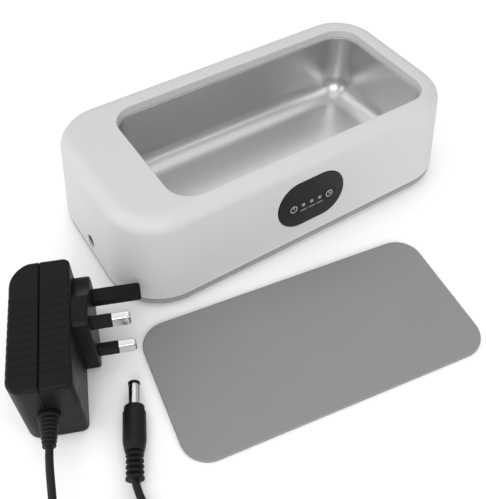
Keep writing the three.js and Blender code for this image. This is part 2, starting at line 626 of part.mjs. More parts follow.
// The tapered strain relief, turned about the adaptor's Y axis. It is trapped between the two halves.
function adaptorRelief() {
  const inside = TOP - ADAPTOR.wall - GAP;
  const profile = [
    [0, inside - 1.6], [RELIEF.neck + 1.3, inside - 1.6], [RELIEF.neck + 1.3, inside],
    [RELIEF.neck, inside], [RELIEF.neck, TOP + GAP], [RELIEF.collar, TOP + GAP], [RELIEF.collar, TOP + 2],
  ];
  const pitch = (RELIEF.length - 2) / RELIEF.ridges;
  for (let i = 0; i < RELIEF.ridges; i++) {
    const y = TOP + 2 + i * pitch;
    const radius = THREE.MathUtils.lerp(RELIEF.collar - 0.4, RELIEF.tip, (i + 0.5) / RELIEF.ridges);
    profile.push([radius - 0.6, y + 0.15 * pitch], [radius - 0.6, y + 0.4 * pitch]);
    profile.push([radius, y + 0.5 * pitch], [radius, y + 0.95 * pitch]);
  }
  profile.push([0, TOP + RELIEF.length]);
  return turned(profile, 12).rotateX(Math.PI / 2).translate(0, 0, MID);
}

const adaptorBoard = box(
  ADAPTOR_BOARD.x, ADAPTOR_BOARD.x + ADAPTOR_BOARD.thick,
  ADAPTOR_BOARD.y0, ADAPTOR_BOARD.y1, ADAPTOR_BOARD.z0, ADAPTOR_BOARD.z1);
const transformer = box(
  TRANSFORMER.x0, TRANSFORMER.x1, -TRANSFORMER.half, TRANSFORMER.half, TRANSFORMER.z0, TRANSFORMER.z1);
const reservoir = post(RESERVOIR.radius, RESERVOIR.z0, RESERVOIR.z1, 0, RESERVOIR.y);
const adaptor = place(new THREE.Group(), { ...ADAPTOR_PLACE, z: FLOOR });
adaptor.add(
  mesh("adaptor_front_shell", caseHalf(true), MATERIALS.blackPlastic),
  mesh("adaptor_back_shell", caseHalf(false), MATERIALS.blackPlastic),
  mesh("earth_pin", earthPin(), MATERIALS.blackPlastic),
  mesh("adaptor_strain_relief", adaptorRelief(), MATERIALS.cordBlack),
  mesh("adaptor_board", adaptorBoard, MATERIALS.circuitBoard),
  mesh("adaptor_transformer", transformer, MATERIALS.component),
  mesh("adaptor_capacitor", reservoir, MATERIALS.component),
);
for (const [name, z] of Object.entries(powerPinZ)) {
  adaptor.add(
    mesh(`${name}_pin`, powerPin(z), MATERIALS.plated),
    mesh(`${name}_pin_sleeve`, powerPinSleeve(z), MATERIALS.blackPlastic),
  );
}
cleaner.add(adaptor);

// ---------------------------------------------------------------- barrel plug
// Its own frame: Z along its axis, out of the tip, and 0 at the tip.
function plugHandle() {
  const back = -BARREL.length;
  const end = back - PLUG.handleLength;
  const profile = [
    [0, back - GAP], [4.6, back - GAP], [4.7, back - 3], [PLUG.handle, back - 3.4],
    [PLUG.handle, end + 4], [4.3, end + 0.6], [4.3, end],
  ];
  const pitch = PLUG.relief / PLUG.rings;
  for (let i = 0; i < PLUG.rings; i++) {
    const z = end - i * pitch;
    profile.push([PLUG.groove, z - 0.1 * pitch], [PLUG.groove, z - 0.45 * pitch]);
    profile.push([PLUG.ring, z - 0.5 * pitch], [PLUG.ring, z - 0.98 * pitch]);
  }
  profile.push([0, end - PLUG.relief]);
  return turned(profile.reverse(), 16);
}

function barrel() {
  const { radius, length, bore, seat, tipLength } = BARREL;
  const blank = turned([
    [0, -length], [radius, -length], [radius, -tipLength - 0.7], [seat, -tipLength - 0.4], [seat, -tipLength],
    [0, -tipLength],
  ], 24);
  return cut(blank, post(bore, -9, 0, 0, 0, 16));
}

function tipInsulator() {
  const { radius, seat, tipLength, tipBore } = BARREL;
  const blank = turned([
    [0, GAP - tipLength], [radius, GAP - tipLength], [radius, -0.3], [seat, 0], [0, 0],
  ], 24);
  return cut(blank, post(tipBore, -3, 1, 0, 0, 16));
}

const barrelPlug = new THREE.Group();
barrelPlug.position.set(PLUG_PLACE.x, PLUG_PLACE.y, FLOOR + PLUG.handle);
barrelPlug.rotation.set(-Math.PI / 2, 0, THREE.MathUtils.degToRad(PLUG_PLACE.turn), "ZXY");
barrelPlug.add(
  mesh("dc_plug_handle", plugHandle(), MATERIALS.cordBlack),
  mesh("dc_plug_barrel", barrel(), MATERIALS.plated),
  mesh("dc_plug_tip", tipInsulator(), MATERIALS.blackPlastic),
);
cleaner.add(barrelPlug);

// ---------------------------------------------------------------- cord
// Routes by hand: from the adaptor down on to the top of the coil, and from its lowest turn to the plug.
const cordFromAdaptor = [
  [-165.7, -101.6, 19.5], [-167.3, -105.5, 19.4], [-169.2, -110.5, 18.8], [-171.4, -116.5, 17.2],
  [-173.8, -122.6, 15.1], [-176.5, -129.2, 13.2], [-178.3, -133.4, 12.4], [-180, -137.2, 12],
];
const cordToPlug = [
  [-140.4, -147.4, 0.6], [-140.9, -145, 0.4], [-141.8, -141.5, 0.5], [-142.3, -136.5, 1.2],
  [-142.3, -132, 2.6], [-141.9, -129, 3.4], [-141.35, -126, 3.7],
];
const coil = turned([
  [COIL.inner, COIL.bottom], [COIL.outer, COIL.bottom], [COIL.outer, COIL.top], [COIL.inner, COIL.top],
  [COIL.inner, COIL.bottom],
], 32);
const halfBand = TIE.width / 2;
const tieTop = COIL.top + GAP;
const tieBand = cut(
  box(TIE.inner - TIE.sheet, TIE.outer + TIE.sheet, -halfBand, halfBand, FLOOR, tieTop + TIE.sheet),
  box(TIE.inner, TIE.outer, -TIE.width, TIE.width, COIL.bottom - GAP, tieTop),
);
const coilGroup = place(new THREE.Group(), COIL);
const tieGroup = place(new THREE.Group(), { turn: TIE.angle });
tieGroup.add(mesh("cord_tie", tieBand, MATERIALS.rubber));
coilGroup.add(mesh("cord_coil", coil, MATERIALS.cordBlack), tieGroup);
cleaner.add(
  mesh("cord_from_adaptor", tube(cordFromAdaptor, CORD_RADIUS, 10), MATERIALS.cordBlack),
  mesh("cord_to_plug", tube(cordToPlug, CORD_RADIUS, 8), MATERIALS.cordBlack),
  coilGroup,
);

export default cleaner;
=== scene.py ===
"""The looks of an ultrasonic cleaner with its loose lid, mains adaptor and lead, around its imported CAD.

Sizes are in millimetres and become metres when a mesh is made. A piece is built in the row frame, or in
the frame of the panel, jack, lid, adaptor or plug that it belongs to.
"""
import json
import math

import bmesh
import bpy
from mathutils import Matrix, Vector


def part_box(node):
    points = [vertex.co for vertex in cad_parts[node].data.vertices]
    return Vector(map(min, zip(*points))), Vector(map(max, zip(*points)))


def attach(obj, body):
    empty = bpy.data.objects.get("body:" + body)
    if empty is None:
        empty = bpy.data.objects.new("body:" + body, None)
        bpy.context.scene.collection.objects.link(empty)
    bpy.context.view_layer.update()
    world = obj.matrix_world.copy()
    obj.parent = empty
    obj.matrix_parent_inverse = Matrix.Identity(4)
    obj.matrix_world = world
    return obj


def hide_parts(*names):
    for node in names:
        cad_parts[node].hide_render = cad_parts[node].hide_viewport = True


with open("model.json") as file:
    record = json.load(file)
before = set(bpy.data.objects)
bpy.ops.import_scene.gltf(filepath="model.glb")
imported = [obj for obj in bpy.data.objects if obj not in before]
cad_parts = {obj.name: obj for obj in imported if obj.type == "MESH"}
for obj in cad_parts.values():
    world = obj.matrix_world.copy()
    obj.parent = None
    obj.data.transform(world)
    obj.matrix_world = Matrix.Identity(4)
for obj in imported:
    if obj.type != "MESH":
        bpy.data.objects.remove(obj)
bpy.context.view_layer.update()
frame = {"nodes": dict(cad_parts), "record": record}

# ---------------------------------------------------------------- sizes, in millimetres
MM = 0.001
GAP = 0.3  # between two pieces that touch in reality
PAST = 1  # how far a cutting or joining tool runs past the face that it meets
FLOOR = -1.5
CREASE = 32  # in degrees: sharper edges stay crisp when a piece is shaded
CORNER_STEPS = 14
ROUND_STEPS = 64
CORNERS = {"rear_right": (1, 1), "rear_left": (-1, 1), "front_left": (-1, -1), "front_right": (1, -1)}

CASE = dict(
    length=200, width=99.6, corner=25.8, top=55, edge=8, inner_edge=4.2, wall=2.2, bottom=5.5,
    lower_edge=0.5)
DRAFT = 0.111
SHOULDER = CASE["top"] - CASE["edge"]
OPENING = dict(length=156.2, width=77, corner=13.6, depth=5, lip=0.6, bevel=0.1, wall=2.2)
TANK = dict(
    ledge=0.3, sheet=0.8, floor=11.2, fillet=12, draft=0.035, flange=4.4, bend=0.35, rise=0.15, corner=0.8)
TANK_TOP = CASE["top"] - OPENING["depth"] - GAP
BASE = dict(length=208.8, width=108.4, corner=30.2, top=4.7, edge=2.9, upper_edge=0.3, floor=2)
TONGUE = dict(length=203.4, width=103, corner=27.4, wall=1.4, top=8)
SCREW = dict(x=90.6, y=40.4, head=2.7, shank=1.2, length=16, point=2.4, seat=4, thread=1, root=0.95)
CROSS = dict(arm=1.5, half_width=0.3, span=(1, 2.7))
BOSS = dict(radius=3.6, span=(8.6, 35), pilot=1.5, pilot_span=(8, 24))
PILLAR = dict(radius=4.4, span=(1, 8), counterbore=3.1, bore=1.7)
FOOT = dict(radius=5, x=72, y=34, recess=0.8, top=0.5)

PANEL = dict(x=0.9, z=28.8, length=42, height=28, proud=0.4, edge=0.35, window=(-5, 4), holes=(-6, 2))
FLANGE = dict(top=-2.8, bottom=-3.8, length=4, height=3)
BUTTON = dict(radius=3.7, rim=4.4, x=11.3, y=-1.3, back=-4.9, rim_top=-4.1, play=0.12)
LED = dict(radius=1.05, foot=1.7, pitch=5.15, y=-1, back=-6.3, foot_top=-4.1, play=0.15)
MARK = dict(lift=0.06, root=-0.1)
ICON = dict(outer=2.1, line=0.36)
# The bars inside each icon: x0, x1, y0, y1, and how far the bar stays below the top of its circle.
HANDS = {
    "power": [(-0.22, 0.22, -0.1, 1.95, 0.02)],
    "timer": [(-0.2, 0.2, -0.2, 1.3, 0), (-0.2, 1.1, -0.2, 0.2, 0.02)],
}
DASH = dict(length=4.2, height=0.9, corner=0.3, y=-4.2)

JACK = dict(y=-2.5, z=12.5, bore=2.85, collar=3.3, hole=3.7, hole_span=(-6, 12))
JACK_BODY = dict(length=13.5, width=9, height=11, rise=0.7)

LID = dict(length=155.4, width=76.2, corner=13.2, thickness=2.5, edge=0.6)
LID_PLACE = dict(x=-36.5, y=-107.5, turn=-9)

ADAPTOR = dict(depth=27, height=67, width=42, wall=2, edge=1.8, chamfer=0.45)
ADAPTOR_CORNERS = dict(front=3, back_low=7, back_high=12)
ADAPTOR_PLACE = dict(x=-147.5, y=-56.5, turn=-22)
MID, FACE, TOP = ADAPTOR["width"] / 2, ADAPTOR["depth"] / 2, ADAPTOR["height"] / 2
RIB = dict(first=15.5, last=-24.5, pitch=4, depth=0.45)
PIN_BOSS = dict(rise=7, lip=1)
PIN_ROOT = FACE - 1.5
PIN_FACE = FACE + PIN_BOSS["rise"]
EARTH_PIN = dict(thick=4, tall=8, reach=22.7, y=24, corner=0.5, nose=1.8)
POWER_PIN = dict(wide=6.35, thick=4, reach=17.7, sleeve=9.4, y=1.8, side=11.1, corner=0.9, nose=1.9)
SLEEVE = dict(corner=0.8, bevel=0.3)
PIN_CORE = dict(thick=2, wide=4)
RELIEF = dict(
    neck=3.9, collar=4.8, collar_length=2, tip=2.7, length=14.5, ridges=7, root=1.3, root_length=1.6)

CORD_RADIUS = 1.7
PLUG = dict(barrel=2.75, barrel_length=12, handle=5.2, handle_length=21.5, relief=12.5, ridges=5)
PLUG_PLACE = dict(x=-121, y=-84, turn=-26)
COIL = dict(x=-164, y=-163, outer=24.2, inner=16.6, top=11.65, drop=3.5, layers=4, start=150, turns=8.611)
TIE = dict(
    angle=-70, inner=13.9, outer=26.5, bottom=-0.9, top=14.3, sheet=0.6, width=7, corner=3.2, edge=0.15)

CAMERA = dict(place=(-161.67, -240.81, 281.45), azimuth=-32.535, elevation=49.922, lens=49.023)
PAPER = dict(half=4000, top=FLOOR - 0.02, bottom=FLOOR - 5)
# Area lights, in metres and watts: name, place, size and power. They all face the row's middle.
LIGHTS = (
    ("top", (0.05, 0.25, 1.8), 2.8, 15),
    ("left", (-1.0, 0.3, 0.5), 0.7, 3.9),
    ("front", (-0.6, -1.0, 0.75), 0.9, 7.6),
    ("front_right", (0.25, -0.7, 0.3), 0.35, 0.8),
    ("behind", (0.75, 1.0, 1.1), 1, 1.5),
)
LIT_POINT = Vector((-0.02, -0.03, 0.02))
AMBIENT = 0.56


# ---------------------------------------------------------------- mesh helpers
def shaded(piece):
    """Smooth shading that keeps creases crisp and flat faces flat."""
    piece.data.shade_smooth()
    piece.data.set_sharp_from_angle(angle=math.radians(CREASE))
    normals = piece.modifiers.new("normals", "WEIGHTED_NORMAL")
    normals.keep_sharp = True
    return piece


def solid(name, points, faces):
    """A mesh object from points in millimetres, with its faces turned outwards."""
    data = bpy.data.meshes.new(name)
    data.from_pydata([tuple(c * MM for c in p) for p in points], [], faces)
    bm = bmesh.new()
    bm.from_mesh(data)
    bmesh.ops.remove_doubles(bm, verts=bm.verts, dist=1e-7)
    bmesh.ops.recalc_face_normals(bm, faces=bm.faces)
    bm.to_mesh(data)
    bm.free()
    piece = bpy.data.objects.new(name, data)
    bpy.context.scene.collection.objects.link(piece)
    return piece


def skin(name, rings, closed=False):
    """A solid over rings of equal count. Its ends are flat, or its last ring joins its first."""
    count = len(rings[0])
    faces = []
    spans = len(rings) if closed else len(rings) - 1
    for i in range(spans):
        low, high = i * count, (i + 1) % len(rings) * count
        for j in range(count):
            k = (j + 1) % count
            faces.append((low + j, low + k, high + k, high + j))
    if not closed:
        faces.append(tuple(reversed(range(count))))
        faces.append(tuple(range((len(rings) - 1) * count, len(rings) * count)))
    return solid(name, [p for r in rings for p in r], faces)


def turned(name, profile, steps=ROUND_STEPS, along_y=False):
    """A solid turned about Z or Y, from a profile of (radius, height) that starts and ends on the axis."""
    points, faces, rows = [], [], []
    for radius, height in profile:
        if radius < 1e-6:
            rows.append([len(points)])
            points.append((0, 0, height))
            continue
        rows.append(list(range(len(points), len(points) + steps)))
        for i in range(steps):
            angle = 2 * math.pi * i / steps
            points.append((radius * math.cos(angle), radius * math.sin(angle), height))
    for low, high in zip(rows, rows[1:]):
        for i in range(steps):
            k = (i + 1) % steps
            if len(low) == 1 and len(high) == 1:
                continue
            if len(low) == 1:
                faces.append((low[0], high[k], high[i]))
            elif len(high) == 1:
                faces.append((low[i], low[k], high[0]))
            else:
                faces.append((low[i], low[k], high[k], high[i]))
    if along_y:
        points = [(y, z, x) for x, y, z in points]
    return solid(name, points, faces)


def hoop(name, profile, steps=ROUND_STEPS):
    """A ring turned about Z, from a closed profile of (radius, height)."""
    rings = []
    for i in range(steps):
        angle = 2 * math.pi * i / steps
        rings.append([(r * math.cos(angle), r * math.sin(angle), z) for r, z in profile])
    return skin(name, rings, closed=True)


def post(radius, z0, z1, x=0, y=0, steps=48):
    """A plain cylinder for cutting and joining."""
    piece = turned("post", [(0, z0), (radius, z0), (radius, z1), (0, z1)], steps)
    return shifted(piece, x, y)


def block(x0, x1, y0, y1, z0, z1):
    """A plain box for cutting and joining."""
    rings = [[(x0, y0, z), (x1, y0, z), (x1, y1, z), (x0, y1, z)] for z in (z0, z1)]
    return skin("block", rings)


def shifted(piece, x=0, y=0, z=0):
    piece.data.transform(Matrix.Translation(Vector((x, y, z)) * MM))
    return piece


def combined(piece, tools, operation):
    """The piece with each tool cut out of it or joined to it. The tools are used up."""
    for tool in tools:
        step = piece.modifiers.new("step", "BOOLEAN")
        step.operation = operation
        step.solver = "EXACT"
        step.object = tool
        bpy.context.view_layer.update()
        evaluated = piece.evaluated_get(bpy.context.evaluated_depsgraph_get())
        data = bpy.data.meshes.new_from_object(evaluated)
        piece.modifiers.clear()
        piece.data = data
        bpy.data.objects.remove(tool)
    bm = bmesh.new()
    bm.from_mesh(piece.data)
    bmesh.ops.remove_doubles(bm, verts=bm.verts, dist=2e-7)
    bm.to_mesh(piece.data)
    bm.free()
    return piece


def cut(piece, *tools):
    return combined(piece, tools, "DIFFERENCE")


def join(piece, *tools):
    return combined(piece, tools, "UNION")


def merged(name, pieces):
    """One object that holds the meshes of several, left as they are."""
    bm = bmesh.new()
    for piece in pieces:
        bm.from_mesh(piece.data)
        bpy.data.objects.remove(piece)
    data = bpy.data.meshes.new(name)
    bm.to_mesh(data)
    bm.free()
    made = bpy.data.objects.new(name, data)
    bpy.context.scene.collection.objects.link(made)
    return made


def ring(length, width, corner, z, centre=(0, 0), steps=CORNER_STEPS):
    """The outline of a rectangle with round corners at height z, anticlockwise from above."""
    points = []
    for turn, (sx, sy) in enumerate(CORNERS.values()):
        for i in range(steps + 1):
            angle = (turn + i / steps) * math.pi / 2
            x = centre[0] + sx * (length / 2 - corner) + corner * math.cos(angle)
            y = centre[1] + sy * (width / 2 - corner) + corner * math.sin(angle)
            points.append((x, y, z))
    return points


def stadium(length, height, z, steps=24):
    return ring(length, height, height / 2 - 0.01, z, steps=steps)


def quarter(steps):
    """Pairs that go round a quarter circle: how far in and how far down from where its two sides meet."""
    angles = [i / steps * math.pi / 2 for i in range(steps + 1)]
    return [(1 - math.cos(a), 1 - math.sin(a)) for a in angles]


def corners_of(size):
    """The four places at plus and minus the x and y of a size, each as its name, x and y."""
    return [(name, sx * size["x"], sy * size["y"]) for name, (sx, sy) in CORNERS.items()]


def finished(piece, body, look, slot, *nodes):
    """Shades a piece, and says its body, its material and the CAD nodes that it replaces. Its slot is not
    used.
    """
    shaded(piece)
    piece.data.materials.clear()
    piece.data.materials.append(look)
    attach(piece, body)
    if nodes:
        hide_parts(*nodes)
    return piece


def placed(piece, matrix):
    """Puts a piece that is built in a frame of its own in that frame's place."""
    piece.matrix_world = matrix
    return piece


def frame_at(x, y, z, turn=0):
    return Matrix.Translation(Vector((x, y, z)) * MM) @ Matrix.Rotation(math.radians(turn), 4, "Z")


# ---------------------------------------------------------------- camera
def camera():
    data = bpy.data.cameras.new("camera")
    data.sensor_width = 36
    data.lens = CAMERA["lens"]
    data.clip_start = 0.01
    made = bpy.data.objects.new("camera", data)
    made.location = Vector(CAMERA["place"]) * MM
    tilt = math.radians(90 - CAMERA["elevation"])
    made.rotation_euler = (tilt, 0, math.radians(CAMERA["azimuth"]))
    bpy.context.scene.collection.objects.link(made)
    bpy.context.scene.camera = made


# ---------------------------------------------------------------- materials
class Look:
    """A procedural material: a Principled shader, and noise that varies it over the surface."""

    def __init__(self, name, colour, roughness, **constants):
        self.material = bpy.data.materials.new(name)
        self.material.use_nodes = True
        self.tree = self.material.node_tree
        self.shader = self.tree.nodes["Principled BSDF"]
        self.colour, self.roughness = colour, roughness
        self.shader.inputs["Base Color"].default_value = (*colour, 1)
        self.shader.inputs["Roughness"].default_value = roughness
        for socket, value in constants.items():
            self.shader.inputs[socket.replace("_", " ")].default_value = value
        self.place = self.tree.nodes.new("ShaderNodeTexCoord").outputs["Object"]
        self.material.diffuse_color = (*colour, 1)

    def noise(self, size, detail=3, stretch=(1, 1, 1), kind="ShaderNodeTexNoise"):
        """Noise whose grains are about size millimetres, drawn out along an axis by stretch."""
        mapping = self.tree.nodes.new("ShaderNodeMapping")
        mapping.inputs["Scale"].default_value = [1 / (size * MM * s) for s in stretch]
        self.tree.links.new(self.place, mapping.inputs["Vector"])
        noise = self.tree.nodes.new(kind)
        noise.inputs["Scale"].default_value = 1
        if "Detail" in noise.inputs:
            noise.inputs["Detail"].default_value = detail
        self.tree.links.new(mapping.outputs["Vector"], noise.inputs["Vector"])
        return noise.outputs["Fac" if "Fac" in noise.outputs else "Distance"]

    def ranged(self, value, low, high):
        """Low to high, as the noise goes over the middle of its range, where most of it lies."""
        spread = self.tree.nodes.new("ShaderNodeMapRange")
        for socket, number in zip(("From Min", "From Max", "To Min", "To Max"), (0.3, 0.7, low, high)):
            spread.inputs[socket].default_value = number
        self.tree.links.new(value, spread.inputs["Value"])
        return spread.outputs["Result"]

    def vary_colour(self, value, by):
        """The colour goes from 1 - by to 1 + by times itself as the noise goes from low to high."""
        mix = self.tree.nodes.new("ShaderNodeMix")
        mix.data_type = "RGBA"
        sides = [socket for socket in mix.inputs if socket.type == "RGBA"]
        for side, factor in zip(sides, (1 - by, 1 + by)):
            side.default_value = (*[min(1, c * factor) for c in self.colour], 1)
        self.tree.links.new(self.ranged(value, 0, 1), mix.inputs["Factor"])
        colour = next(socket for socket in mix.outputs if socket.type == "RGBA")
        self.tree.links.new(colour, self.shader.inputs["Base Color"])
        return self

    def vary_roughness(self, value, by):
        spread = self.ranged(value, self.roughness - by, self.roughness + by)
        self.tree.links.new(spread, self.shader.inputs["Roughness"])
        return self

    def bump(self, value, height, onto=None):
        """Relief of that height in millimetres, over another relief if one is given."""
        relief = self.tree.nodes.new("ShaderNodeBump")
        relief.inputs["Distance"].default_value = height * MM
        relief.inputs["Strength"].default_value = 1
        self.tree.links.new(value, relief.inputs["Height"])
        if onto:
            self.tree.links.new(onto, relief.inputs["Normal"])
        self.tree.links.new(relief.outputs["Normal"], self.shader.inputs["Normal"])
        return relief.outputs["Normal"]


def grey(value):
    return (value, value, value)


def moulded(name, colour, roughness, grain=0.35, height=0.008, colour_by=0.02, **constants):
    """Injection-moulded plastic: a fine spark-eroded grain, and faint unevenness in tone and gloss."""
    look = Look(name, colour, roughness, **constants)
    broad = look.noise(26, 2)
    look.vary_colour(broad, colour_by).vary_roughness(look.noise(7, 3), 0.05)
    waves = look.bump(look.noise(14, 1), 0.03)
    look.bump(look.noise(grain, 2), height, onto=waves)
    return look.material


def printed(name, colour):
    """Ink on the panel: moulded plastic with hardly any grain."""
    return moulded(name, colour, 0.5, grain=0.2, height=0.002, colour_by=0.04)


def drawn_steel():
    """Deep-drawn stainless steel, brushed along the tank, with faint pressing waves."""
    look = Look("drawn_steel", grey(0.58), 0.33, Metallic=1)
    streaks = look.noise(0.25, 3, stretch=(300, 1, 1))
    look.vary_colour(look.noise(30, 2, stretch=(3, 1, 1)), 0.02)
    look.vary_roughness(streaks, 0.03)
    waves = look.bump(look.noise(35, 0), 0.04)
    look.bump(streaks, 0.0006, onto=waves)
    return look.material


def plated(name):
    """Nickel plate or milled metal, with fine turning lines and handling marks."""
    look = Look(name, (0.66, 0.66, 0.65), 0.16, Metallic=1)
    look.vary_colour(look.noise(3, 2), 0.04).vary_roughness(look.noise(1.2, 4), 0.06)
    look.bump(look.noise(0.25, 2, stretch=(1, 1, 8)), 0.003)
    return look.material


def soft(name, colour, roughness, height=0.012):
    """Rubber or soft PVC: a matt skin with a slight bloom."""
    look = Look(name, colour, roughness, Specular_IOR_Level=0.22)
    look.vary_colour(look.noise(4, 4), 0.18).vary_roughness(look.noise(2, 3), 0.07)
    look.bump(look.noise(0.4, 3), height)
    return look.material


def laminate():
    """Solder-masked circuit board, with tracks that show through the green."""
    look = Look("circuit_board", (0.03, 0.11, 0.05), 0.4)
    tracks = look.noise(2.2, 0, kind="ShaderNodeTexVoronoi")
    look.vary_colour(tracks, 0.35).vary_roughness(look.noise(1.5, 2), 0.06)
    look.bump(tracks, 0.03)
    return look.material


def winding():
    """Enamelled copper wire, wound close."""
    look = Look("copper_winding", (0.45, 0.16, 0.05), 0.35, Metallic=1)
    turns = look.noise(0.7, 1, stretch=(1, 1, 12))
    look.vary_colour(turns, 0.3).vary_roughness(turns, 0.1)
    look.bump(turns, 0.15)
    return look.material


def make_looks():
    """Every material: one for each of the record's slots, and the inks of the panel's icons and dashes."""
    return {
        "white_plastic": moulded("white_plastic", grey(0.535), 0.5, colour_by=0.006),
        "grey_plastic": moulded("grey_plastic", grey(0.26), 0.5),
        "lid_plastic": moulded("lid_plastic", grey(0.215), 0.55, grain=0.3, height=0.006, colour_by=0.01),
        "panel_black": moulded(
            "panel_black", grey(0.010), 0.42, grain=0.5, height=0.003, colour_by=0.06,
            Specular_IOR_Level=0.25),
        "led_lens": moulded("led_lens", grey(0.27), 0.3, grain=0.2, height=0.002, colour_by=0.05),
        "icon_ink": printed("icon_ink", grey(0.5)),
        "dash_ink": printed("dash_ink", grey(0.165)),
        "black_plastic": moulded(
            "black_plastic", grey(0.006), 0.42, height=0.014, colour_by=0.15, Specular_IOR_Level=0.13),
        "cord_black": soft("cord_black", grey(0.007), 0.5),
        "foot_rubber": soft("foot_rubber", grey(0.05), 0.8, 0.03),
        "tie_rubber": soft("tie_rubber", grey(0.02), 0.75, 0.05),
        "wire_rubber": soft("wire_rubber", (0.1, 0.02, 0.02), 0.5),
        "silicone": soft("silicone", grey(0.6), 0.55, 0.05),
        "circuit_board": laminate(),
        "component": moulded("component", (0.02, 0.022, 0.025), 0.45, height=0.02, colour_by=0.2),
        "ceramic": moulded("ceramic", (0.58, 0.48, 0.27), 0.6, grain=0.2, height=0.01, colour_by=0.06),
        "steel": drawn_steel(),
        "plated_metal": plated("plated_metal"),
        "copper": winding(),
        "aluminium": plated("milled_aluminium"),
    }


# ---------------------------------------------------------------- cord
# The two stretches that aren't coiled, as the CAD has them.
FROM_ADAPTOR = (
    (-165.7, -101.6, 19.5), (-167.3, -105.5, 19.4), (-169.2, -110.5, 18.8), (-171.4, -116.5, 17.2),
    (-173.8, -122.6, 15.1), (-176.5, -129.2, 13.2), (-178.3, -133.4, 12.4), (-180, -137.2, 12),
)
TO_PLUG = (
    (-140.4, -147.4, 0.6), (-140.9, -145, 0.4), (-141.8, -141.5, 0.5), (-142.3, -136.5, 1.2),
    (-142.3, -132, 2.6), (-141.9, -129, 3.4), (-141.35, -126, 3.7),
)
POINTS_PER_TURN = 24


def smooth_step(t):
    t = min(1, max(0, t))
    return t * t * (3 - 2 * t)


def coil_points():
    """The turns of the coil: in and out again, layer by layer, from the top one to the lowest."""
    per_layer = COIL["turns"] / COIL["layers"]
    count = round(COIL["turns"] * POINTS_PER_TURN)
    switch = 0.12  # how many turns before and after its end a layer starts to go down
    layer_ends = [k * per_layer for k in range(1, COIL["layers"])]
    points = []
    for i in range(count + 1):
        turn = COIL["turns"] * i / count
        layer = min(int(turn / per_layer), COIL["layers"] - 1)
        share = turn / per_layer - layer
        if layer % 2:
            share = 1 - share
        radius = COIL["outer"] - share * (COIL["outer"] - COIL["inner"])
        sunk = sum(smooth_step((turn - end + switch) / (2 * switch)) for end in layer_ends)
        angle = math.radians(COIL["start"]) + 2 * math.pi * turn
        x = COIL["x"] + radius * math.cos(angle)
        y = COIL["y"] + radius * math.sin(angle)
        points.append((x, y, COIL["top"] - COIL["drop"] * sunk))
    return points


def lead(looks, plug_pieces):
    data = bpy.data.curves.new("lead", "CURVE")
    data.dimensions = "3D"
    data.bevel_depth = CORD_RADIUS * MM
    data.bevel_resolution = 5
    data.resolution_u = 5
    data.use_fill_caps = True
    route = [*FROM_ADAPTOR, *coil_points(), *TO_PLUG]
    line = data.splines.new("BEZIER")
    line.bezier_points.add(len(route) - 1)
    for point, place in zip(line.bezier_points, route):
        point.co = Vector(place) * MM
        point.handle_left_type = point.handle_right_type = "AUTO"
    piece = bpy.data.objects.new("lead", data)
    bpy.context.scene.collection.objects.link(piece)
    data.materials.append(looks["cord_black"])
    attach(piece, "housing")
    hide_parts("cord_from_adaptor", "cord_coil", "cord_to_plug")


def tie(looks):
    """The band that holds the coil, wrapped round its turns at one place."""
    x0, x1, z0, z1 = TIE["inner"], TIE["outer"], TIE["bottom"], TIE["top"]
    centre = ((x0 + x1) / 2, (z0 + z1) / 2)

    def loop(grow, y):
        outline = ring(x1 - x0 + 2 * grow, z1 - z0 + 2 * grow, TIE["corner"] + grow, 0, centre, steps=8)
        return [(x, y, z) for x, z, _ in outline]

    half, edge, thick = TIE["width"] / 2, TIE["edge"], TIE["sheet"]
    rings = [loop(0, -half), loop(thick - edge, -half), loop(thick, -half + edge)]
    rings += [loop(thick, half - edge), loop(thick - edge, half), loop(0, half)]
    band = skin("lead_tie", rings, closed=True)
    placed(band, frame_at(COIL["x"], COIL["y"], 0, TIE["angle"]))
    return finished(band, "housing", looks["tie_rubber"], "tie_rubber", "cord_tie")


def plug_handle():
    """The plug's grip and, behind it, the ridges that relieve the lead."""
    grip = PLUG["handle"]
    back = -PLUG["barrel_length"]
    end = back - PLUG["handle_length"]
    profile = [
        (0, back - GAP), (4.3, back - GAP), (4.6, back - 0.6), (4.7, back - 3), (4.75, back - 3.15),
        (grip - 0.12, back - 3.25), (grip, back - 3.5), (grip, end + 5.2), (grip - 0.25, end + 3.4),
        (4.6, end + 1.4), (4.35, end + 0.4), (4.2, end),
    ]
    pitch = PLUG["relief"] / PLUG["ridges"]
    for i in range(PLUG["ridges"]):
        z = end - i * pitch
        last = i == PLUG["ridges"] - 1
        crest = 4.05 if last else 3.9
        share = 0.99 if last else 0.94
        profile += [
            (2.35, z - 0.08 * pitch), (2.2, z - 0.2 * pitch), (2.3, z - 0.42 * pitch),
            (3.5, z - 0.49 * pitch), (crest, z - 0.6 * pitch), (crest, z - (share - 0.1) * pitch),
            (3.5, z - share * pitch),
        ]
    profile.append((0, end - PLUG["relief"]))
    return turned("plug_handle", profile)


